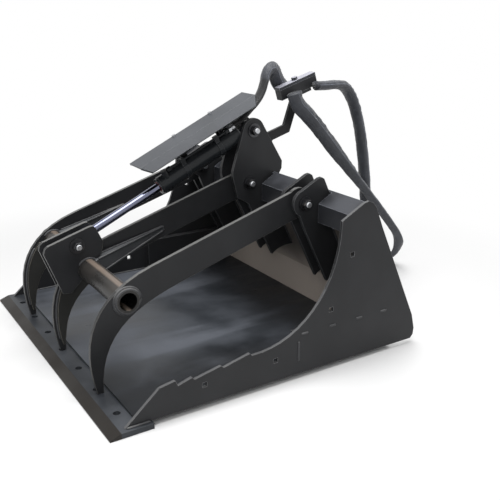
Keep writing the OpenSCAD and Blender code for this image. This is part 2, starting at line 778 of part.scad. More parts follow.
function hub_half(x) = (x == 0 ? mid_ear_in : low_ear_in) - seam;
module hinge_hubs() {
    color(steel) from_edge() for (x = arm_x)
        ring(x - hub_half(x), x + hub_half(x), hinge_y, hinge_z, hub_r, bush_r);
}
module hinge_bushes() {
    color(bronze) from_edge() for (x = arm_x)
        ring(x - hub_half(x), x + hub_half(x), hinge_y, hinge_z, bush_r, pin_r + pin_fit);
}
// The bolt through the clevis shows as its head, nut and two short shanks
module rod_pin_ends() {
    color(zinc) from_edge() {
        bar(clevis_in, clevis_reach + nut_h + pin_end, rod_y, rod_z, pin_r);
        hex(clevis_reach, clevis_reach + nut_h, rod_y, rod_z);
        bar(-clevis_reach, -clevis_in, rod_y, rod_z, pin_r);
        hex(-clevis_reach - head_h, -clevis_reach, rod_y, rod_z);
    }
}
module rod_pin_washers() { color(dark) from_edge() pivot_washers(0, clevis_reach, rod_y, rod_z); }

module barrel() {
    color(dark) from_edge() on_cylinder() difference() {
        along(barrel_start, barrel_end, barrel_r);
        along(barrel_start + base_cap_l, barrel_end + over, bore_r);
    }
}
module barrel_base() {
    color(dark) from_edge() on_cylinder() difference() {
        union() {
            translate([-base_eye_w / 2, 0, 0]) rotate([0, 90, 0]) cylinder(h = base_eye_w, r = base_eye_r);
            translate([-base_eye_w / 2, -base_neck, 0]) cube([base_eye_w, 2 * base_neck, barrel_start]);
        }
        translate([-base_eye_w / 2 - over, 0, 0]) rotate([0, 90, 0])
            cylinder(h = base_eye_w + 2 * over, r = bush_r);
    }
}
module base_bush() {
    color(bronze) from_edge()
        ring(-mid_ear_in + seam, mid_ear_in - seam, base_y, base_z, bush_r, pin_r + pin_fit);
}
module gland() {
    color(dark) from_edge() on_cylinder() difference() {
        union() {
            along(barrel_end - gland_l, barrel_end, bore_r);
            along(barrel_end, barrel_end + gland_lip, gland_r);
        }
        along(barrel_end - gland_l - over, barrel_end + gland_lip + over, rod_r + pin_fit);
        along(barrel_end + gland_lip - wiper_w, barrel_end + gland_lip + over, rod_r + wiper_w);
    }
}
module rod_wiper() {
    color(rubber) from_edge() on_cylinder() difference() {
        along(barrel_end + gland_lip - wiper_w, barrel_end + gland_lip, rod_r + wiper_w);
        along(barrel_end - over, barrel_end + gland_lip + over, rod_r + pin_fit);
    }
}
// Two ports stand on the barrel's upper side; the front one feeds the hard line
module port_bosses() {
    color(dark) from_edge() on_cylinder() difference() {
        for (p = [[line_x, line_front], [-line_x, line_rear + port_r]])
            translate([p[0], 0, p[1]]) rotate([-90, 0, 0])
                cylinder(h = barrel_r + port_h, r = port_r);
        along(barrel_start, barrel_end + over, barrel_r);
    }
}
module hard_line() {
    color(dark) from_edge() on_cylinder()
        along(line_rear, line_front - port_r, line_r, line_x, line_n);
}
module hose_fittings() {
    color(zinc) from_edge() on_cylinder() for (x = [-line_x, line_x])
        along(line_rear - fitting_l, line_rear, fitting_r, x, line_n);
}
module barrel_clamps() {
    half = line_r + band;
    color(dark) from_edge() on_cylinder() for (u = clamp_places) difference() {
        union() {
            along(u - clamp_w / 2, u + clamp_w / 2, barrel_r + band);
            translate([line_x - half, 0, u - clamp_w / 2]) cube([2 * half, line_n + half, clamp_w]);
        }
        along(u - clamp_w, u + clamp_w, barrel_r);
        along(u - clamp_w, u + clamp_w, line_r, line_x, line_n);
    }
}
// The guard is one sheet with both sides folded down
module guard() {
    fall = guard_flange * sin(guard_splay);
    out = guard_flange * cos(guard_splay);
    half = guard_w / 2;
    color(steel) from_edge() on_cylinder() difference() {
        translate([0, 0, guard_front - guard_l]) linear_extrude(guard_l)
            polygon(folded([[-half - out, guard_rise - fall], [-half, guard_rise],
                [half, guard_rise], [half + out, guard_rise - fall]], -guard_t));
        for (s = [-1, 1]) for (e = [guard_front, guard_front - guard_l])
            translate([s * (half + out), guard_rise + over, e]) rotate([90, 0, 0]) rotate([0, 0, 45])
                translate([-guard_corner / 2, -guard_corner / 2, 0])
                    cube([guard_corner, guard_corner, guard_rise]);
        for (u = post_places) translate([bolt_x, guard_rise + over, u]) rotate([90, 0, 0])
            cylinder(h = guard_t + 2 * over, r = bolt_r / 2);
    }
}
module guard_posts() {
    top = guard_rise - guard_t;
    color(steel) from_edge() on_cylinder() for (u = post_places) {
        difference() {
            translate([post_x, 0, u - post_w / 2]) cube([post_t, top, post_w]);
            along(u - post_w, u + post_w, barrel_r);
        }
        difference() {
            translate([guard_t / 2 - guard_w / 2, top - post_t, u - post_w / 2])
                cube([guard_w / 2 - guard_t / 2 + post_x + post_t, post_t, post_w]);
            translate([bolt_x, top + over, u]) rotate([90, 0, 0])
                cylinder(h = post_t + 2 * over, r = bolt_r / 2);
        }
    }
}
module guard_bolts() {
    color(zinc) from_edge() on_cylinder() for (u = post_places) translate([bolt_x, guard_rise, u]) {
        rotate([-90, 0, 0]) cylinder(h = bolt_h, r = bolt_r, $fn = 6);
        rotate([90, 0, 0]) cylinder(h = guard_t + post_t + bolt_h, r = bolt_r / 2 - seam);
    }
}

module rod() {
    color(chrome) from_edge() on_cylinder()
        along(barrel_end - gland_l - piston_gap - piston_l, cyl_len - eye_r - rod_thread / 2, rod_r);
}
module piston() {
    rear = barrel_end - gland_l - piston_gap - piston_l;
    color(dark) from_edge() on_cylinder() difference() {
        along(rear, rear + piston_l, bore_r - pin_fit);
        along(rear - over, rear + piston_l + over, rod_r);
        for (k = [1, 2]) difference() {
            along(rear + (k * piston_l - seal_w) / 3, rear + (k * piston_l + seal_w) / 3, bore_r + over);
            along(rear, rear + piston_l, bore_r - groove_d);
        }
    }
}
module rod_eye() {
    start = cyl_len - eye_r - rod_thread;
    color(dark) from_edge() on_cylinder() difference() {
        union() {
            translate([-eye_w / 2, 0, cyl_len]) rotate([0, 90, 0]) cylinder(h = eye_w, r = eye_r);
            along(start, cyl_len, 0.65 * eye_r);
        }
        along(start - over, cyl_len - eye_r - rod_thread / 2, rod_r);
        translate([-eye_w, 0, cyl_len]) rotate([0, 90, 0]) cylinder(h = 2 * eye_w, r = eye_bush_r);
    }
}
module rod_bush() {
    color(bronze) from_edge() ring(-eye_w / 2, eye_w / 2, rod_y, rod_z, eye_bush_r, pin_r + pin_fit);
}
module rod_pin() { color(zinc) from_edge() bar(-eye_w / 2, eye_w / 2, rod_y, rod_z, pin_r); }

// A flat bar from the right middle ear carries the hose clamp on a shelf
module on_clamp() { translate([0, clamp_y, clamp_z]) rotate([clamp_tilt, 0, 0]) children(); }
module hose_bracket() {
    x1 = -mid_ear_out;
    color(steel) from_edge() {
        difference() {
            across(x1 - bracket_t, x1) polygon(folded(bracket_path, -bracket_w));
            on_clamp() translate([x1 - bracket_t - over, -block_l, -block_h - bracket_t / 2])
                cube([bracket_t + 2 * over, 2 * block_l, block_l]);
        }
        on_clamp() translate([x1 - bracket_t / 2, bracket_t / 2, -block_h - bracket_t])
            cube([block_x + block_w / 2 - x1 + bracket_t / 2, bracket_w + bracket_t, bracket_t]);
    }
}
module clamp_block() {
    color(dark) from_edge() on_clamp() translate([block_x - block_w / 2, -block_l / 2, -block_h])
        cube([block_w, block_l, block_h]);
}
module clamp_cap() {
    color(steel) from_edge() on_clamp() translate([block_x, 0, 0]) {
        translate([-block_w / 2, -block_l / 2, 0]) cube([block_w, block_l, cap_t]);
        translate([0, 0, cap_t]) cylinder(h = cap_t, r = cap_bolt, $fn = 6);
    }
}
module jumper_sleeve() {
    color(textile) from_rear() swept(jumper_route, jumper_w, jumper_t,
        full_shares, jumper_t_shares, jumper_steps, [1, 0, 0]);
}
module hose_tails() {
    color(textile) from_rear() {
        swept(lifted(near_route), near_w, near_t, near_w_shares, near_t_shares, tail_steps);
        swept(lifted(far_route), far_w, far_t, full_shares, full_shares, tail_steps);
    }
}
module hose_couplers() {
    color(zinc) from_rear() for (route = [near_route, far_route]) {
        end = route[len(route) - 1];
        translate([end[0] - coupler_l - seam, end[1], coupler_r]) rotate([0, 90, 0])
            cylinder(h = coupler_l, r = coupler_r);
    }
}

cutting_edge();
floor_sheet();
back_sheet();
side_plate_left();
side_plate_right();
corner_boxes();
top_rail();
ear_left_outer();
ear_left_inner();
ear_mid_left();
ear_mid_right();
ear_right_inner();
ear_right_outer();
coupler_plate();
coupler_lip();
coupler_ledge();
back_ribs();
wear_runners();
hinge_bolts();
hinge_nuts();
hinge_washers();
base_bolt();
base_nut();
base_washers();
arm_left();
arm_middle();
arm_right();
cross_tube();
tube_collars();
tine_plates();
arm_gussets();
clevis_left();
clevis_right();
hinge_hubs();
hinge_bushes();
rod_pin_ends();
rod_pin_washers();
barrel();
barrel_base();
base_bush();
gland();
rod_wiper();
port_bosses();
hard_line();
hose_fittings();
barrel_clamps();
guard();
guard_posts();
guard_bolts();
rod();
piston();
rod_eye();
rod_bush();
rod_pin();
hose_bracket();
clamp_block();
clamp_cap();
jumper_sleeve();
hose_tails();
hose_couplers();
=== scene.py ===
import math
from math import cos, pi, radians, sin

import bmesh
import bpy
from mathutils import Matrix, Vector, noise


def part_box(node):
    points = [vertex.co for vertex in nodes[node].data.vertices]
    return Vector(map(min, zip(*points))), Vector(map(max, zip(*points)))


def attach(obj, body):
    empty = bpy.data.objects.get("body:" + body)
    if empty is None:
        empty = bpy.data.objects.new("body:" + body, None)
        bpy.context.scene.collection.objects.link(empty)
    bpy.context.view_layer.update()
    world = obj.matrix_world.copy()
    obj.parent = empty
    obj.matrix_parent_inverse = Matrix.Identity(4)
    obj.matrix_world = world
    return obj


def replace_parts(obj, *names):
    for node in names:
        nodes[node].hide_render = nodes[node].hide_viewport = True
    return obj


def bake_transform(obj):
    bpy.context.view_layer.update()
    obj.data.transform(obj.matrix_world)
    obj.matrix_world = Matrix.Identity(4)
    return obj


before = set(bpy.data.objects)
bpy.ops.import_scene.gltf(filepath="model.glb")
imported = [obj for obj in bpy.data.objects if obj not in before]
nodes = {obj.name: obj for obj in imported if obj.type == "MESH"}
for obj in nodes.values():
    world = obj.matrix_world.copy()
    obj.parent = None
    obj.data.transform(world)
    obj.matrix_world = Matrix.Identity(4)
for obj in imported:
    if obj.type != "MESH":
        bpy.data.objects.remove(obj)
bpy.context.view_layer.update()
scene = bpy.context.scene

# Camera: a little above the bucket's front left corner, as the photograph was taken.
# It was fitted to the cutting edge, its holes and the left side plate's outline.
camera_data = bpy.data.cameras.new("camera")
camera_data.lens = 51.52
camera_data.sensor_width = 36
camera = bpy.data.objects.new("camera", camera_data)
camera.location = (2.1016, -1.0919, 1.0782)
camera.rotation_euler = (radians(71.06), 0, radians(57.65))
scene.collection.objects.link(camera)
scene.camera = camera

# Tail hoses: two hydraulic hoses in woven nylon sleeves, clamped behind the ears and left lying
# on the ground. Each sleeve is pressed flat over its hose and creased where it turns.
# The routes are those of part.scad, in metres: across, back from the cutting edge, up.
edge_to_middle = -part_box("cutting_edge")[0][1]
near_route = [(0.0273, 0.95, 0.784), (0.0273, 0.955, 0.768), (0.026, 0.969, 0.743), (0.025, 0.999, 0.716),
              (0.024, 1.043, 0.674), (0.022, 1.093, 0.621), (0.02, 1.153, 0.556), (0.02, 1.229, 0.473),
              (0.02, 1.309, 0.385), (0.02, 1.384, 0.303), (0.02, 1.447, 0.232), (0.017, 1.496, 0.172),
              (0.004, 1.527, 0.119), (-0.032, 1.545, 0.066), (-0.09, 1.549, 0.028), (-0.15, 1.546, 0.014),
              (-0.22, 1.542, 0.013), (-0.3, 1.537, 0.016), (-0.37, 1.536, 0.017)]
far_route = [(0.0304, 1.044, 0.804), (0.03, 1.07, 0.803), (0.026, 1.104, 0.802), (0.016, 1.144, 0.801),
             (0.003, 1.184, 0.795), (-0.011, 1.222, 0.774), (-0.02, 1.256, 0.735), (-0.024, 1.284, 0.676),
             (-0.024, 1.306, 0.606), (-0.025, 1.324, 0.523), (-0.026, 1.34, 0.436), (-0.028, 1.354, 0.35),
             (-0.032, 1.37, 0.266), (-0.042, 1.39, 0.186), (-0.066, 1.412, 0.112), (-0.108, 1.432, 0.058),
             (-0.166, 1.446, 0.026), (-0.235, 1.453, 0.018), (-0.3, 1.457, 0.017), (-0.37, 1.458, 0.017)]
# Rows of how far along the hose, how wide across and how thick its sleeve is there
near_sizes = [(0, 0.044, 0.06), (0.3, 0.044, 0.057), (0.52, 0.042, 0.034), (0.8, 0.042, 0.03),
              (1.0258, 0.04, 0.026), (2, 0.04, 0.026)]
far_sizes = [(0, 0.05, 0.034), (2, 0.05, 0.034)]


def in_frame(x, depth, height):
    """A point given across, back from the cutting edge and up, in the frame of the model."""
    return Vector((x, depth - edge_to_middle, height))


def smooth(points, step=0.004):
    """Points close together on a smooth curve through the given ones."""
    ends = [2 * points[0] - points[1]] + points + [2 * points[-1] - points[-2]]
    line = []
    for a, b, c, d in zip(ends, ends[1:], ends[2:], ends[3:]):
        count = max(2, math.ceil((c - b).length / step))
        for t in (k / count for k in range(count)):
            line.append(0.5 * (2 * b + (c - a) * t + (2 * a - 5 * b + 4 * c - d) * t * t
                               + (3 * b - a - 3 * c + d) * t * t * t))
    return line + [points[-1]]


def runs_of(line):
    """How far along the line each of its points is."""
    run = [0.0]
    for a, b in zip(line, line[1:]):
        run.append(run[-1] + (b - a).length)
    return run


def wrap(bm, line, sides, section, side=None, uv=None, girth=0.1):
    """A grid rolled up round a line; section gives a point's place across and above it there."""
    runs = runs_of(line)
    made = bmesh.ops.create_grid(bm, x_segments=len(line) - 1, y_segments=sides, size=1)["verts"]
    last = len(line) - 1
    place = {v: (round((v.co.x + 1) / 2 * last), round((v.co.y + 1) / 2 * sides)) for v in made}
    frames = []
    wide = None
    for i in range(len(line)):
        ahead = (line[min(i + 1, last)] - line[max(i - 1, 0)]).normalized()
        if side is None:
            wide = wide or ahead.orthogonal()
            wide = (wide - ahead * wide.dot(ahead)).normalized()
        else:
            wide = (ahead.cross(side) if side.z else side).normalized()
        frames.append((wide, wide.cross(ahead).normalized()))
    if uv:
        for face in {f for v in made for f in v.link_faces}:
            for loop in face.loops:
                i, k = place[loop.vert]
                loop[uv].uv = (k / sides * girth, runs[i])
    for vert, (i, k) in place.items():
        x, y = section(runs[i], 2 * pi * (k % sides) / sides)
        vert.co = line[i] + frames[i][0] * x + frames[i][1] * y
    for face in {f for v in made for f in v.link_faces}:
        face.smooth = True
    bmesh.ops.remove_doubles(bm, verts=made, dist=1e-6)


def as_piece(bm, name, material, body=None):
    """The bmesh as a closed piece of that material, riding on a body."""
    bmesh.ops.holes_fill(bm, edges=[e for e in bm.edges if e.is_boundary], sides=0)
    bmesh.ops.recalc_face_normals(bm, faces=bm.faces)
    mesh = bpy.data.meshes.new(name)
    bm.to_mesh(mesh)
    bm.free()
    piece = bpy.data.objects.new(name, mesh)
    scene.collection.objects.link(piece)
    mesh.materials.append(material)
    if body:
        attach(piece, body)
    return piece


class Signal:
    """A socket whose arithmetic adds Math nodes, and whose node method adds any other node."""

    def __init__(self, tree, socket=None):
        self.tree = tree
        self.socket = socket

    def node(self, kind, out=0, settings=None, links=None):
        made = self.tree.nodes.new(kind)
        for key, value in (settings or {}).items():
            setattr(made, key, value)
        for key, value in (links or {}).items():
            if isinstance(value, Signal):
                self.tree.links.new(value.socket, made.inputs[key])
            else:
                made.inputs[key].default_value = value
        return Signal(self.tree, made.outputs[out])

    def math(self, operation, first, second=0.0):
        return self.node("ShaderNodeMath", 0, {"operation": operation}, {0: first, 1: second})

    def __add__(self, other):
        return self.math("ADD", self, other)

    def __sub__(self, other):
        return self.math("SUBTRACT", self, other)

    def __rsub__(self, other):
        return self.math("SUBTRACT", other, self)

    def __mul__(self, other):
        return self.math("MULTIPLY", self, other)

    __radd__ = __add__
    __rmul__ = __mul__

    def ramp(self, low, high):
        """A soft step from 0 at low to 1 at high."""
        settings = {"interpolation_type": "SMOOTHSTEP"}
        links = {"Value": self, "From Min": low, "From Max": high}
        return self.node("ShaderNodeMapRange", 0, settings, links)

    def blend(self, first, second):
        """The colour first where this mask is 0 and second where it is 1."""
        return self.node("ShaderNodeMix", 2, {"data_type": "RGBA"}, {0: self, 6: first, 7: second})

    def axis(self, number, source="Object"):
        """One axis of the piece's own coordinates, or of its normal or UV map."""
        place = self.node("ShaderNodeTexCoord", source)
        return self.node("ShaderNodeSeparateXYZ", number, None, {0: place})

    def speckle(self, scale, stretch=(1, 1, 1), detail=4.0, turn=(0, 0, 0)):
        """Noise on the piece's own coordinates, stretched along an axis where that is under 1."""
        place = self.node("ShaderNodeTexCoord", "Object")
        links = {"Vector": place, "Rotation": turn, "Scale": stretch}
        place = self.node("ShaderNodeMapping", 0, None, links)
        links = {"Vector": place, "Scale": scale, "Detail": detail}
        return self.node("ShaderNodeTexNoise", 0, None, links)


def colour(tone, share=1.0):
    """The tone, or a share of it, as the four values that a colour socket takes."""
    return tuple(c * share for c in tone) + (1,)


def new_material(name):
    made = bpy.data.materials.new(name)
    made.use_nodes = True
    return made, made.node_tree.nodes["Principled BSDF"], Signal(made.node_tree)


def connect(shader, links):
    for key, value in links.items():
        if isinstance(value, Signal):
            shader.id_data.links.new(value.socket, shader.inputs[key])
        else:
            shader.inputs[key].default_value = value


# The weave follows the UV map, whose u runs round the sleeve from its fold and v along it, in
# metres. Up to the length bare the hoses' black rubber shows.
def cloth(name, tone, bare=-1.0, thread=0.0016):
    made, shader, base = new_material(name)
    around = base.axis(0, "UV")
    along = base.axis(1, "UV")
    u = around * (2 * pi / thread)
    v = along * (2 * pi / thread)
    weave = base.math("MAXIMUM", base.math("SINE", u + v), base.math("SINE", u - v))
    cloud = base.speckle(14.0)
    worn = base.speckle(80.0, detail=5.0).ramp(0.45, 0.75)
    shade = (cloud.ramp(0.3, 0.75) * 0.5 + worn * 0.5).blend(colour(tone), colour(tone, 1.8))
    shade = weave.ramp(-0.9, 0.2).blend(colour(tone, 0.55), shade)
    # A pale line along the fold, where u starts: a painted highlight on the crease.
    shade = (1 - around.ramp(0.0022, 0.004)).blend(shade, colour(tone, 4.5))
    shade = along.ramp(bare, bare + 0.012).blend(colour((0.006, 0.0065, 0.007)), shade)
    bump = base.node("ShaderNodeBump", 0, None, {"Height": weave, "Strength": 0.3, "Distance": 0.0003})
    connect(shader, {"Base Color": shade, "Roughness": worn * 0.15 + 0.5, "Normal": bump,
                     "Sheen Weight": 0.2, "Sheen Roughness": 0.4})
    return made


sleeve_cloth = cloth("woven_sleeve", (0.034, 0.037, 0.045))
jumper_cloth = cloth("woven_sleeve_over_hoses", (0.034, 0.037, 0.045), 0.2)


def size_at(sizes, run):
    """How wide and thick a sleeve is, a given run along it."""
    for a, b in zip(sizes, sizes[1:]):
        if run <= b[0]:
            t = max(0.0, (run - a[0]) / (b[0] - a[0]))
            return a[1] + (b[1] - a[1]) * t, a[2] + (b[2] - a[2]) * t
    return sizes[-1][1:]


def flattened(sizes, square, crease, seed, ribs=(0, 0, 1, 0), pockets=(), fold=0.0):
    """The section of a sleeve: a rounded lozenge or oblong, creased by noise, whose fold runs a
    little off its middle, with ribs and pockets across the face above the fold."""
    def section(run, turn):
        wide, thick = size_at(sizes, run)
        across = math.copysign(abs(cos(turn)) ** square, cos(turn))
        above = math.copysign(abs(sin(turn)) ** square, sin(turn))
        spot = Vector((across + seed, above, run * 20))
        sink = crease * (noise.noise(spot) - 0.5 + 0.7 * noise.noise(spot * 2.9))
        face = max(0.0, above) * (1 - above * above) * 2.6
        if ribs[0] < run < ribs[1]:
            sink -= ribs[3] * face * (0.5 + 0.5 * cos(2 * pi * run / ribs[2] + 2.0 * sin(run * 31)))
        for place, half in pockets:
            sink -= 0.008 * face * math.exp(-((run - place) / half) ** 2)
        return across * (wide / 2 + sink), above * (thick / 2 + sink) + fold * max(0.0, across)
    return section


def sleeve(name, line, sizes, section, side, material, sides=48):
    """A sleeve along the line. The weave's UV map takes its girth from its first width."""
    bm = bmesh.new()
    uv = bm.loops.layers.uv.new("weave")
    wrap(bm, line, sides, section, side, uv, 2 * (sizes[0][1] + sizes[0][2]))
    return as_piece(bm, name, material)


upward = Vector((0, 0, 1))
near_line = smooth([in_frame(*p) for p in near_route])
near_section = flattened(near_sizes, 1.3, 0.0014, 0, ribs=(0.02, 0.5, 0.041, 0.0022),
                         pockets=((0.135, 0.012), (0.222, 0.011), (0.33, 0.01)), fold=0.006)
near_tail = sleeve("sleeve_near_tail", near_line, near_sizes, near_section, upward, sleeve_cloth)
far_line = smooth([in_frame(*p) for p in far_route])
far_section = flattened(far_sizes, 0.9, 0.0016, 7, ribs=(0.01, 0.3, 0.03, 0.0016), fold=0.004)
far_tail = sleeve("sleeve_far_tail", far_line, far_sizes, far_section, upward, sleeve_cloth)
for tail in (near_tail, far_tail):
    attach(tail, "root")
    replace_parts(tail, "hose_tails")


# Quick couplers: flat-face hydraulic couplers, turned and zinc plated, one female with a knurled
# sliding sleeve and one male with a bare nose. Each is crimped on its hose's end.
def metal(name, tone, rough, grain=(1, 1, 1), stain=(0.2, 0.18, 0.16), stained=0.3):
    """Plain or plated metal, stained in clouds, whose scratches run along the grain."""
    made, shader, base = new_material(name)
    cloud = base.speckle(60.0)
    scratch = base.speckle(700.0, grain, 3.0)
    shade = (cloud.ramp(0.5, 0.75) * stained).blend(colour(tone), colour(stain))
    bump = base.node("ShaderNodeBump", 0, None, {"Height": scratch, "Strength": 0.12, "Distance": 0.0002})
    connect(shader, {"Base Color": shade, "Metallic": 1.0, "Normal": bump,
                     "Roughness": scratch * 0.12 + cloud * 0.12 + (rough - 0.1)})
    return made


zinc = metal("zinc_plate", (0.5, 0.51, 0.53), 0.38)
crossways = Matrix.Rotation(pi / 2, 4, "Y")


def turned(bm, place, profile, sides=40):
    """Spins a profile of (along, radius) pairs round the place's own Z axis."""
    corners = [bm.verts.new(place @ Vector((radius, 0, along))) for along, radius in profile]
    lines = [bm.edges.new(pair) for pair in zip(corners, corners[1:])]
    bmesh.ops.spin(bm, geom=corners + lines, cent=place.translation, axis=place.col[2].xyz,
                   angle=2 * pi, steps=sides, use_merge=True)
    spun = set(corners)
    grown = set(corners)
    while grown:
        grown = {v for g in grown for e in g.link_edges for v in e.verts} - spun
        spun |= grown
    bmesh.ops.remove_doubles(bm, verts=list(spun), dist=1e-6)


def hexagon(bm, place, low, high, radius, chamfer=0.0012):
    """A six-sided nut or head along the place's own Z axis, its outer corners chamfered."""
    middle = place @ Matrix.Translation((0, 0, (low + high) / 2))
    made = bmesh.ops.create_cone(bm, cap_ends=True, segments=6, radius1=radius, radius2=radius,
                                 depth=high - low, matrix=middle)["verts"]
    caps = [e for e in {e for v in made for e in v.link_edges}
            if abs(((e.verts[0].co - e.verts[1].co).normalized()).dot(place.col[2].xyz)) < 0.5]
    bmesh.ops.bevel(bm, geom=caps, offset=chamfer, segments=2, profile=0.5, affect="EDGES", material=-1)


for name, line, male in (("coupler_female", near_line, False), ("coupler_male", far_line, True)):
    end = line[-1] + Vector((-0.0003, 0, 0))
    place = Matrix.Translation(end) @ Matrix.Rotation(-pi / 2, 4, "Y")
    coupler_bm = bmesh.new()
    turned(coupler_bm, place, [(0, 0), (0, 0.0125), (0.002, 0.0145), (0.006, 0.0145), (0.007, 0.0135),
                               (0.009, 0.0135), (0.010, 0.0145), (0.016, 0.0145), (0.018, 0.011),
                               (0.021, 0.011), (0.021, 0)])
    hexagon(coupler_bm, place, 0.0205, 0.036, 0.0165)
    if male:
        turned(coupler_bm, place, [(0.0355, 0), (0.0355, 0.0155), (0.048, 0.0155), (0.05, 0.013),
                                   (0.066, 0.013), (0.067, 0.0118), (0.07, 0.0118), (0.071, 0.013),
                                   (0.081, 0.013), (0.083, 0.0115), (0.0838, 0.0105), (0.0838, 0)])
    else:
        knurl = [(0.038 + 0.0015 * k, 0.0162 + 0.0006 * (k % 2)) for k in range(14)]
        turned(coupler_bm, place, [(0.0355, 0), (0.0355, 0.0155)] + knurl
               + [(0.06, 0.0155), (0.064, 0.0155), (0.065, 0.0168), (0.081, 0.0168), (0.0825, 0.0155),
                  (0.0838, 0.0135), (0.0838, 0.0115), (0.0815, 0.0112), (0.0815, 0)])
    coupler = as_piece(coupler_bm, name, zinc, "root")
    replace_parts(coupler, "hose_couplers")
    tail, across = (far_tail, 0.042) if male else (near_tail, 0.046)
    runs_of(line)[-1]

# Jumper: both cylinder hoses in one wide sleeve, from the fittings under the guard up in a
# hairpin and down beside the clamp. Its outer face is ribbed where it turns down.
jumper_sizes = [(0, 0.05, 0.024), (0.196, 0.05, 0.028), (0.2434, 0.05, 0.038), (0.2642, 0.05, 0.048),
                (0.295, 0.05, 0.056), (0.3802, 0.05, 0.058)]
jumper_route = [(0, 0.7102, 0.6904), (0, 0.7369, 0.6997), (0, 0.7567, 0.7139), (0, 0.7758, 0.7319),
                (0, 0.801, 0.754), (0, 0.821, 0.777), (0, 0.834, 0.8), (0, 0.843, 0.825),
                (-0.003, 0.851, 0.848), (-0.008, 0.865, 0.866), (-0.016, 0.884, 0.869),
                (-0.03, 0.903, 0.855), (-0.044, 0.921, 0.834), (-0.0523, 0.938, 0.814),
                (-0.0523, 0.957, 0.793)]
jumper_line = smooth([in_frame(*p) for p in jumper_route], 0.002)
jumper_section = flattened(jumper_sizes, 1.2, 0.001, 3, ribs=(0.24, 0.39, 0.0125, 0.0028), fold=0.003)
jumper = sleeve("sleeve_jumper", jumper_line, jumper_sizes, jumper_section, Vector((1, 0, 0)),
                jumper_cloth)
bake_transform(jumper)
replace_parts(jumper, "jumper_sleeve")


# Cutting edge: hot rolled high-carbon flat bar with a ground bevel and seven punched holes.
# Like the rest of the bucket it is powder coated satin black, with dust where it faces up and
# edges a shade lighter, partly rubbed paint and partly painted highlight.
def paint(name, tone, dust, dusty=0.3, rough=0.4, edge=(0.1, 0.105, 0.112), peel=0.25, streak=0.0,
          top_light=None, top_light_range=(0.72, 0.93), patch=None):
    """Powder coat with settled dust, paler edges that are partly rubbed paint and partly painted highlight
    and, if given, upward faces paler in that colour as painted light from above.

    patch takes the material's base, its colour so far and its cloudy noise, and gives the colour
    with what sets that one piece apart."""
    made, shader, base = new_material(name)
    up = base.axis(2, "Normal")
    cloud = base.speckle(7.0)
    grit = base.speckle(160.0, detail=3.0)
    settled = up.ramp(-0.1, 1.0) * cloud.ramp(0.35, 0.7) * dusty + grit.ramp(0.62, 0.8) * dusty * 0.3
    if streak:
        drag = base.speckle(9.0, (1, 0.12, 1), 5.0, (0, 0, 0.25))
        settled = settled + up.ramp(0.2, 0.9) * drag.ramp(0.45, 0.6) * streak
    rounded = base.node("ShaderNodeBevel", 0, {"samples": 6}, {"Radius": 0.002})
    flat = base.node("ShaderNodeNewGeometry", "Normal")
    same = base.node("ShaderNodeVectorMath", "Value", {"operation": "DOT_PRODUCT"}, {0: rounded, 1: flat})
    # Pale edges: rubbed paint, and partly a painted highlight where the edge colour is pale.
    worn = (1 - same).ramp(0.006, 0.09) * (grit * 0.8 + 0.5)
    shade = cloud.ramp(0.3, 0.75).blend(colour(tone), colour(tone, 1.35))
    shade = settled.blend(shade, colour(dust))
    shade = worn.blend(shade, colour(edge))
    if patch:
        shade = patch(base, shade, cloud)
    # Upward faces paler in the given colour: painted light from above.
    if top_light:
        shade = (up.ramp(*top_light_range) * (cloud * 0.5 + 0.65)).blend(shade, colour(top_light))
    place = base.node("ShaderNodeTexCoord", "Object")
    skin = base.node("ShaderNodeTexNoise", 0, None, {"Vector": place, "Scale": 900.0, "Detail": 2.0})
    links = {"Height": skin, "Strength": peel, "Distance": 0.0004, "Normal": rounded}
    bump = base.node("ShaderNodeBump", 0, None, links)
    connect(shader, {"Base Color": shade, "Roughness": settled * 0.3 + cloud * 0.16 + (rough - 0.08),
                     "Normal": bump, "Specular IOR Level": 0.24})
    return made


def coat(material, *names):
    """Gives the CAD nodes of those names the material."""
    for name in names:
        nodes[name].data.materials.clear()
        nodes[name].data.materials.append(material)


def painted_bevel_shade(base, shade, cloud):
    """The ground bevel, in front of its crease, is painted darker and browner than the flat: painted shade,
    with a painted warm reflection.
    """
    crease = -0.5125
    behind = (base.axis(1) + cloud * 0.001).ramp(crease, crease + 0.002)
    return behind.blend(colour((0.017, 0.0145, 0.012)), shade)


edge_paint = paint("cutting_edge_paint", (0.026, 0.029, 0.034), (0.105, 0.112, 0.125), 0.45, 0.42,
                   patch=painted_bevel_shade)
coat(edge_paint, "cutting_edge")

# Floor sheet: 6 mm sheet whose paint loads have scuffed smooth and blue-grey, in streaks that
# run the way the loads slide. Along the rear, the left side and the front left corner the floor
# is painted near black: painted shade.
floor_tone = (0.045, 0.05, 0.058)


def painted_floor_shade(base, shade, cloud):
    """Painted shade at the rear, along the left side and in the front left corner, as near black paint."""
    across = base.axis(0)
    wavy = base.speckle(5.0) * 0.16 - 0.08
    deep = base.axis(1) + wavy
    dark = base.math("MAXIMUM", (across + wavy * 1.6).ramp(0.2, 0.4), deep.ramp(0.1, 0.32))
    corner = (1 - deep.ramp(-0.42, -0.24)) * across.ramp(0.05, 0.3) * 0.9
    dark = base.math("MAXIMUM", dark, corner)
    return (dark * 0.9).blend(shade, colour(floor_tone, 0.2))


floor_paint = paint("scuffed_floor", floor_tone, (0.12, 0.13, 0.151), 0.33, 0.3, streak=0.6,
                    patch=painted_floor_shade)
coat(floor_paint, "floor_sheet")

# Back sheet, side plates, corner boxes and top rail: laser-cut and folded sheet, satin black.
# The inside of the back sheet near the floor is painted a pale warm grey: painted light.
def painted_warm_light(base, shade, cloud):
    """Painted light: a pale warm grey on faces that look into the bucket, near its floor."""
    inward = 1 - base.axis(1, "Normal").ramp(-0.2, 0.2)
    low_part = 1 - (base.axis(2) + cloud * 0.12).ramp(0.17, 0.3)
    return (inward * low_part * 0.9).blend(shade, colour((0.46, 0.405, 0.36)))


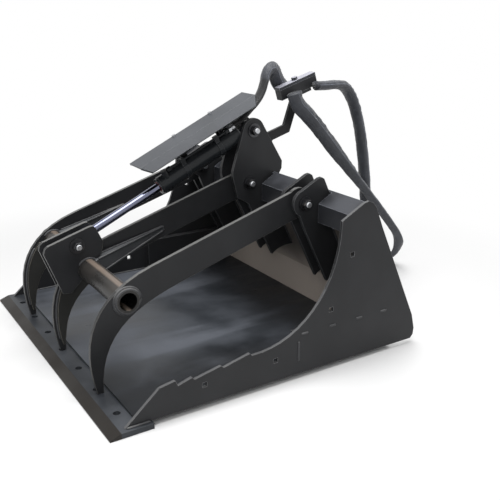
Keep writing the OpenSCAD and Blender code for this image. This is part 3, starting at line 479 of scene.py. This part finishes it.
black = paint("black_powder_coat", (0.018, 0.0185, 0.02), (0.08, 0.078, 0.078), edge=(0.15, 0.155, 0.16))
# Painted light: the back sheet's paint is a lighter, warmer grey than the other black paint.
back_sheet_painted_light = paint("back_sheet_paint", (0.09, 0.081, 0.074), (0.24, 0.205, 0.18), 0.6, 0.4,
                   patch=painted_warm_light)
# Its bluish-white edges are partly a painted highlight along the rail's folds.
rail_paint = paint("rail_paint", (0.018, 0.019, 0.022), (0.1, 0.105, 0.12), 0.45,
                   edge=(0.34, 0.36, 0.4))
# Side plates: pale edges partly painted highlight, and faces that slope up painted paler as painted light
# from above.
side_paint = paint("side_plate_paint", (0.018, 0.0185, 0.02), (0.08, 0.078, 0.078),
                   edge=(0.24, 0.243, 0.25), top_light=(0.12, 0.121, 0.124), top_light_range=(0.3, 0.62))
coat(side_paint, "side_plate_left", "side_plate_right")
coat(black, "corner_boxes")
coat(rail_paint, "top_rail")
coat(back_sheet_painted_light, "back_sheet")


def weld(name, body, runs, radius=0.0042, step=0.0022):
    """Rippled weld beads along the given runs of points, each tapering off at both ends."""
    bm = bmesh.new()
    for number, run in enumerate(runs):
        line = []
        for a, b in zip(run, run[1:]):
            count = max(1, round((b - a).length / step))
            line += [a + (b - a) * k / count for k in range(count)]
        line.append(run[-1])
        length = runs_of(line)[-1]

        def bead(along, turn, number=number, length=length):
            taper = min(1.0, (along + 0.0004) / 0.004, (length - along + 0.0004) / 0.004) ** 0.5
            ripple = 0.86 + 0.14 * abs(sin(along * 620 + 0.5 * sin(along * 97 + number)))
            reach = radius * taper * ripple * (1 + 0.12 * noise.noise(Vector((along * 60, number, 0))))
            return cos(turn) * reach, sin(turn) * reach

        wrap(bm, line, 8, bead)
    as_piece(bm, name, weld_paint, body)


def arc(x, depth, height, radius, start=0.0, end=360.0):
    count = max(8, round(abs(end - start) / 6))
    turns = [radians(start + (end - start) * k / count) for k in range(count + 1)]
    return [in_frame(x, depth + radius * cos(t), height + radius * sin(t)) for t in turns]


weld_paint = paint("painted_weld", (0.04, 0.041, 0.044), (0.2, 0.2, 0.2), 0.7, 0.33,
                   edge=(0.07, 0.07, 0.075))
# The back sheet leans forward. Its front face passes back_foot, which is a depth and a height.
slope = 0.4719
back_foot = (0.988, 0.1444)
plate_in, plate_out = (corner[0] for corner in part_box("side_plate_left"))
floor_under, floor_top = (corner[2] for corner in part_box("floor_sheet"))


def back_depth(height):
    return back_foot[0] - slope * (height - back_foot[1])


def straight(x, *ends):
    """A run at one place across, between ends given as depth and height."""
    return [in_frame(x, *end) for end in ends]


seam = floor_under - 0.0005
edge_weld, floor_weld = floor_under + 0.0012, floor_top + 0.001
corner_front, corner_length, corner_top = 0.6071, 0.3768, 0.1468
tab_shares = (0.07, 0.35, 0.63, 0.9)
tab_half = 0.013
back_ends = [(back_depth(h) - 0.0015, h) for h in (0.152, 0.42)]
body_runs = []
for s in (1, -1):
    inside, slot = s * (plate_in - 0.001), s * (plate_out - 0.0002)
    body_runs.append(straight(s * (plate_out + 0.0015), (0.052, edge_weld), (0.122, edge_weld)))
    body_runs.append(straight(inside, (0.095, floor_weld), (0.603, floor_weld)))
    body_runs.append(straight(inside, *back_ends))
    for share in tab_shares:
        tab = corner_front + share * corner_length
        body_runs.append(straight(slot, (tab - tab_half, corner_top), (tab + tab_half, corner_top)))
    body_runs.append(straight(slot, (0.612, 0.06), (0.612, 0.125)))
for x in (k * 0.16 for k in range(-3, 4)):
    body_runs.append([in_frame(x + half, 0.1275, seam) for half in (-0.03, 0.03)])
weld("welds_body", "root", body_runs)

# Ears: laser-cut plates 12.7 mm thick, two low pairs for the outer arms and one tall pair that
# also holds the cylinder, welded down the back sheet.
coat(black, "ear_left_outer", "ear_left_inner", "ear_mid_left", "ear_mid_right", "ear_right_inner",
     "ear_right_outer")
arm_x = 0.33
ear_in, ear_out = (corner[0] - arm_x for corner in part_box("ear_left_outer"))
mid_ear_in, mid_ear_out = (corner[0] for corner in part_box("ear_mid_left"))
ear_faces = [s * (arm_x + d) for s in (1, -1) for d in (ear_in, ear_out, -ear_in, -ear_out)]
ear_faces += [mid_ear_in, mid_ear_out, -mid_ear_in, -mid_ear_out]
ear_ends = [(back_depth(h) - 0.002, h) for h in (0.245, 0.468)]
weld("welds_ears", "root", [straight(x, *ear_ends) for x in ear_faces], 0.0038)

# Coupler at the rear: a mounting plate with a hooked top lip and a drilled ledge, held off the
# back sheet by five ribs, with three wear runners under the floor. This side is guessed.
coat(black, "coupler_plate", "coupler_lip", "coupler_ledge", "back_ribs", "wear_runners")
mount_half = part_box("coupler_plate")[1][0]
mount_low = (1.05204, 0.1247)
rib_shares = (-0.94, -0.5, 0, 0.5, 0.94)
runner_shares = (-0.78, 0, 0.78)
runner_edge = 0.0375
rear_runs = []
rib_ends = [(back_depth(h) + 0.0085, h) for h in (0.16, 0.43)]
for share in rib_shares:
    for side in (0.004, -0.004):
        rear_runs.append(straight(share * mount_half + side, *rib_ends))
rear_runs.append([in_frame(x, *mount_low) for x in (-0.27, 0.27)])
for share in runner_shares:
    for side in (runner_edge, -runner_edge):
        for depth in (0.17, 0.5, 0.86):
            rear_runs.append(straight(share * plate_in + side, (depth, seam), (depth + 0.06, seam)))
weld("welds_rear", "root", rear_runs)

# Pivot bolts: 19 mm zinc plated bolts with chamfered hexagon heads, large dark washers and dark
# nuts, whose threaded ends stand a few millimetres out.
dark_steel = metal("phosphated_steel", (0.07, 0.071, 0.076), 0.34, stained=0.4)
pin_r = 0.0095
hex_r = 0.0164
head_tall = 0.012
nut_tall = 0.0164
thread_end = 0.0213
washer_t = 0.004
slack = 0.0001


def middle(node):
    """The depth and height of the middle of a node's box."""
    low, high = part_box(node)
    return (low[1] + high[1]) / 2 + edge_to_middle, (low[2] + high[2]) / 2


hinge_at = middle("hinge_bolts")
base_at = middle("base_bolt")
clevis_at = middle("rod_pin_ends")


def threaded(low, high, radius=pin_r, pitch=0.0021):
    """The profile of a bolt's end: a thread from low to high, then a chamfered face."""
    count = int((high - low - 0.001) / pitch)
    ridge = [(low + pitch * (k + share), radius - depth) for k in range(count)
             for share, depth in ((0.0, 0.0009), (0.4, 0.0), (0.6, 0.0))]
    return ridge + [(high - 0.0012, radius - 0.0004), (high, radius - 0.0018), (high, 0)]


def pivot(bolt_bm, nut_bm, x, half, depth, height, gap=0.0):
    """A bolt from right to left through plates and washers that reach half either side of x.

    A gap leaves out its middle, as far as that either side of x."""
    place = Matrix.Translation(in_frame(x, depth, height)) @ crossways
    reach = half + washer_t
    hexagon(bolt_bm, place, -reach - head_tall, -reach, hex_r)
    thread = threaded(reach + 2 * slack, reach + thread_end)
    if gap:
        turned(bolt_bm, place, [(-reach, 0), (-reach, pin_r), (-gap, pin_r), (-gap, 0)])
        turned(bolt_bm, place, [(gap, 0), (gap, pin_r)] + thread)
    else:
        turned(bolt_bm, place, [(-reach, 0), (-reach, pin_r)] + thread)
    hexagon(nut_bm, place, reach + slack, reach + nut_tall, hex_r, 0.0016)


hinge_bolt_bm, hinge_nut_bm = bmesh.new(), bmesh.new()
for x, half in ((arm_x, ear_out), (0, mid_ear_out), (-arm_x, ear_out)):
    pivot(hinge_bolt_bm, hinge_nut_bm, x, half, *hinge_at)
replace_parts(as_piece(hinge_bolt_bm, "bolts_hinge", zinc, "root"), "hinge_bolts")
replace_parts(as_piece(hinge_nut_bm, "nuts_hinge", dark_steel, "root"), "hinge_nuts")
base_bolt_bm, base_nut_bm = bmesh.new(), bmesh.new()
pivot(base_bolt_bm, base_nut_bm, 0, mid_ear_out, *base_at)
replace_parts(as_piece(base_bolt_bm, "bolt_base", zinc, "root"), "base_bolt")
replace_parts(as_piece(base_nut_bm, "nut_base", dark_steel, "root"), "base_nut")
clevis_bolt_bm, clevis_nut_bm = bmesh.new(), bmesh.new()
clevis_in, clevis_out = (corner[0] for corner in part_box("clevis_left"))
pivot(clevis_bolt_bm, clevis_nut_bm, 0, clevis_out, *clevis_at, gap=clevis_in + 0.00015)
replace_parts(as_piece(clevis_bolt_bm, "bolt_clevis", zinc, "grapple"), "rod_pin_ends")
as_piece(clevis_nut_bm, "nut_clevis", dark_steel, "grapple")
coat(dark_steel, "hinge_washers", "base_washers", "rod_pin_washers")

# Grapple: three laser-cut arms, each one plate with its curved tine, on one cross tube whose
# ends are collared. Plates stiffen the tines, and the hinge hubs hold plain bronze bushes.
# Arms: pale edges partly painted highlight; upward faces painted paler as painted light from above.
arm_paint = paint("arm_paint", (0.017, 0.0175, 0.019), (0.09, 0.088, 0.085), 0.3, 0.38,
                  edge=(0.17, 0.168, 0.155), top_light=(0.14, 0.14, 0.137))
tube_tone = (0.024, 0.023, 0.022)
tube_at = middle("cross_tube")
tube_inside = 0.0268


def painted_bore_shade(base, shade, cloud):
    """Painted shade inside the cross tube: near black, as no light gets in there, and no dust either."""
    from_middle = {0: base.node("ShaderNodeTexCoord", "Object"), 1: (0, 1, 1),
                   2: (0, edge_to_middle - tube_at[0], -tube_at[1])}
    offset = base.node("ShaderNodeVectorMath", 0, {"operation": "MULTIPLY_ADD"}, from_middle)
    out = base.node("ShaderNodeVectorMath", "Value", {"operation": "LENGTH"}, {0: offset})
    return out.ramp(tube_inside, tube_inside + 0.0014).blend(colour(tube_tone, 0.15), shade)


# A narrow pale warm streak along the tube's upper side is a painted highlight.
tube_paint = paint("tube_paint", tube_tone, (0.12, 0.1, 0.085), 0.3, 0.28, edge=(0.2, 0.2, 0.2),
                   top_light=(0.2, 0.16, 0.13), top_light_range=(0.93, 0.998), patch=painted_bore_shade)
# Tine plates: warm pale edges partly painted highlight; upward faces painted paler as painted light from
# above.
plate_paint = paint("plate_paint", (0.021, 0.021, 0.02), (0.12, 0.11, 0.092), 0.4, 0.36,
                    edge=(0.24, 0.225, 0.19), top_light=(0.16, 0.15, 0.13))
# Gussets: a lighter tone than the arms and paler upward faces, as painted light on their lit faces, over
# dust.
gusset_paint = paint("gusset_paint", (0.035, 0.037, 0.04), (0.14, 0.145, 0.15), 0.6, 0.36, peel=0.5,
                     edge=(0.24, 0.245, 0.25), top_light=(0.13, 0.135, 0.14))
bronze = metal("bush_bronze", (0.42, 0.3, 0.16), 0.4)
coat(arm_paint, "arm_left", "arm_middle", "arm_right", "clevis_left", "clevis_right", "hinge_hubs")
coat(plate_paint, "tine_plates")
coat(gusset_paint, "arm_gussets")
coat(tube_paint, "cross_tube", "tube_collars")
coat(bronze, "hinge_bushes", "base_bush", "rod_bush")
arm_slope = radians(17.3)
arm_face = 0.00635
on_tube, on_collar = 0.0362, 0.0415


def on_arm(back, rise):
    """A point in depth and height, measured along an arm back from its hinge and up from it."""
    return (hinge_at[0] - back * cos(arm_slope) - rise * sin(arm_slope),
            hinge_at[1] - back * sin(arm_slope) + rise * cos(arm_slope))


def tine_edge(points, x, shift, low, high, count=26):
    """A run along a tine's curved edge between two heights."""
    run = []
    for t in (k / count for k in range(count + 1)):
        s = 1 - t
        weights = (s * s * s, 3 * s * s * t, 3 * s * t * t, t * t * t)
        depth = sum(w * p[0] for w, p in zip(weights, points)) + shift
        height = sum(w * p[1] for w, p in zip(weights, points))
        if low < height < high:
            run.append(in_frame(x, depth, height))
    return run


tine_front = [(0.054, 0.017), (0.0098, 0.1901), on_arm(0.7151, 0.04), on_arm(0.522, 0.04)]
tine_back = [(0.072, 0.017), (0.0701, 0.1901), on_arm(0.6329, -0.05), on_arm(0.462, -0.05)]
grapple_runs = []
gusset_from, gusset_length = 0.036, 0.29
gusset_half, gusset_taper = 0.0248, 0.018
for x, s in ((arm_x, -1), (0, 1), (0, -1), (-arm_x, 1)):
    face = x + s * arm_face
    grapple_runs.append(tine_edge(tine_front, face + s * 0.0012, 0.011, 0.045, 0.268))
    grapple_runs.append(tine_edge(tine_back, face + s * 0.0012, -0.0025, 0.045, 0.235))
    grapple_runs.append(arc(face + s * 0.0015, *tube_at, on_tube, -20, 150))
    grapple_runs.append(arc(face + s * 0.0142, *tube_at, on_tube, -160, -20))
    for up in (1, -1):
        for wide, end in ((0.0005, 0.289), (0.038, 0.284)):
            run = []
            for along, out in ((gusset_from, wide), (end, min(wide, 0.004))):
                rise = up * (gusset_half - gusset_taper * along / gusset_length)
                run.append(in_frame(face + s * out,
                                    tube_at[0] + along * cos(arm_slope) - rise * sin(arm_slope),
                                    tube_at[1] + along * sin(arm_slope) + rise * cos(arm_slope)))
            grapple_runs.append(run)
for s in (1, -1):
    grapple_runs.append(arc(s * 0.3368, *tube_at, on_collar))
    grapple_runs.append(arc(s * 0.3418, *tube_at, on_tube))
    for x in (clevis_in - 0.00055, clevis_out + 0.00045):
        grapple_runs.append(arc(s * x, *tube_at, on_tube, 30, 150))
weld("welds_grapple", "grapple", grapple_runs)

# Cylinder: honed tube with a screwed gland, satin black, fed by a hard line that is clamped
# along it. Two crimped hose ends with swivel nuts sit under the guard's rear.
barrel_paint = paint("cylinder_paint", (0.014, 0.016, 0.018), (0.08, 0.078, 0.075), 0.15, 0.26)
rubber, rubber_shader, rubber_base = new_material("wiper_rubber")
rubber_shade = rubber_base.speckle(90.0).ramp(0.3, 0.8).blend(colour((0.16, 0.03, 0.02)),
                                                              colour((0.1, 0.025, 0.02)))
connect(rubber_shader, {"Base Color": rubber_shade, "Roughness": 0.7})
coat(barrel_paint, "barrel", "barrel_base", "gland", "port_bosses", "hard_line", "barrel_clamps", "rod_eye")
coat(rubber, "rod_wiper")
coat(dark_steel, "piston")
tilt = math.atan2(base_at[1] - clevis_at[1], base_at[0] - clevis_at[0])
cylinder_frame = Matrix.Translation(in_frame(0, *base_at)) @ Matrix.Rotation(pi / 2 + tilt, 4, "X")
line_x, line_up = 0.014, 0.039
fitting_bm = bmesh.new()
for x in (-line_x, line_x):
    place = cylinder_frame @ Matrix.Translation((x, line_up, 0))
    hexagon(fitting_bm, place, 0.064, 0.0759, 0.0109)
    turned(fitting_bm, place, [(0.0502, 0), (0.0502, 0.0095), (0.0515, 0.0105), (0.054, 0.0105),
                               (0.0545, 0.0098), (0.0565, 0.0098), (0.057, 0.0105), (0.0595, 0.0105),
                               (0.061, 0.0085), (0.0642, 0.0085), (0.0642, 0)])
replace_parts(as_piece(fitting_bm, "hose_ends", zinc, "barrel"), "hose_fittings")
line_bm = bmesh.new()
place = cylinder_frame @ Matrix.Translation((line_x, line_up, 0))
hexagon(line_bm, place, 0.32, 0.334, 0.0095)
hexagon(line_bm, place, 0.0765, 0.09, 0.0095)
as_piece(line_bm, "nuts_hard_line", barrel_paint, "barrel")
around_barrel = (2 * pi * k / 60 for k in range(61))
base_seam_r, base_seam_at = 0.0305, 0.0445
weld("welds_cylinder", "barrel",
     [[cylinder_frame @ Vector((base_seam_r * cos(t), base_seam_r * sin(t), base_seam_at))
       for t in around_barrel]], 0.003)

# Guard: one sheet with both sides splayed down, painted grey-black and dusted, bolted to two
# posts that stand on the barrel.
guard_paint = paint("guard_paint", (0.04, 0.044, 0.051), (0.12, 0.122, 0.13), 0.3, 0.36,
                    edge=(0.16, 0.165, 0.17))
coat(guard_paint, "guard")
coat(black, "guard_posts")
coat(zinc, "guard_bolts")

# Rod: hard chromed and ground, with fine rings from grinding and a film of oil. Its pin is
# zinc plated.
chrome = metal("ground_chrome", (0.17, 0.18, 0.245), 0.11, (1, 0.05, 0.05), stained=0.06)
coat(chrome, "rod")
coat(zinc, "rod_pin")

# Hose clamp: a folded flat bar from the right middle ear carries a moulded block, whose steel
# cap is pulled down by one bolt.
# The cap's upward faces are painted pale as painted light from above, and its pale edges are partly painted
# highlight.
clamp_paint = paint("clamp_paint", (0.03, 0.032, 0.037), (0.2, 0.2, 0.22), 0.3, 0.3,
                    edge=(0.3, 0.3, 0.34), top_light=(0.36, 0.36, 0.41))
coat(clamp_paint, "clamp_cap")
coat(black, "hose_bracket", "clamp_block")

# Studio: a white floor that fades to plain white a little way off, a white world that only the
# camera and shiny surfaces see in full, and wide soft lamps above and to the left.
def plain_rays(base):
    """1 for the rays of the camera, of reflections and through clear pieces, 0 for the others."""
    camera, glossy, clear = (base.node("ShaderNodeLightPath", f"Is {kind} Ray")
                             for kind in ("Camera", "Glossy", "Transmission"))
    return base.math("MAXIMUM", camera, base.math("MAXIMUM", glossy, clear))


floor_bm = bmesh.new()
bmesh.ops.create_grid(floor_bm, x_segments=1, y_segments=1, size=30)
pale, pale_shader, pale_base = new_material("studio_white")
connect(pale_shader, {"Base Color": colour((0.86, 0.86, 0.86)), "Roughness": 0.9})
studio_floor = as_piece(floor_bm, "studio_floor", pale)
studio_floor.location = (0, 0, -0.0005)
spot = pale_base.node("ShaderNodeTexCoord", "Object")
reach = pale_base.node("ShaderNodeVectorMath", "Value", {"operation": "LENGTH"}, {0: spot})
white = pale_base.node("ShaderNodeEmission", 0, None, {"Color": colour((1, 1, 1)), "Strength": 1.0})
lit = Signal(pale.node_tree, pale_shader.outputs[0])
mixed = pale_base.node("ShaderNodeMixShader", 0, None,
                       {0: plain_rays(pale_base) * reach.ramp(0.75, 1.9), 1: lit, 2: white})
pale.node_tree.links.new(mixed.socket, pale.node_tree.nodes["Material Output"].inputs[0])

world = bpy.data.worlds.new("studio")
scene.world = world
world.use_nodes = True
sky = Signal(world.node_tree)
backdrop = world.node_tree.nodes["Background"]
backdrop.inputs["Color"].default_value = colour((1, 1, 1))
world.node_tree.links.new((plain_rays(sky) * 0.65 + 0.35).socket, backdrop.inputs["Strength"])


def lamp(name, place, aim, size, power):
    data = bpy.data.lights.new(name, "AREA")
    data.shape = "RECTANGLE"
    data.size, data.size_y = size
    data.energy = power
    made = bpy.data.objects.new(name, data)
    made.location = place
    made.rotation_euler = (Vector(aim) - Vector(place)).to_track_quat("-Z", "Y").to_euler()
    scene.collection.objects.link(made)


lamp("overhead", (0.3, 0.1, 3.0), (0, 0, 0.2), (2.6, 2.0), 95)
lamp("front_left", (3.0, -2.4, 2.4), (0, -0.1, 0.3), (1.8, 1.4), 38)

scene.view_settings.view_transform = "Standard"
bpy.context.view_layer.update()
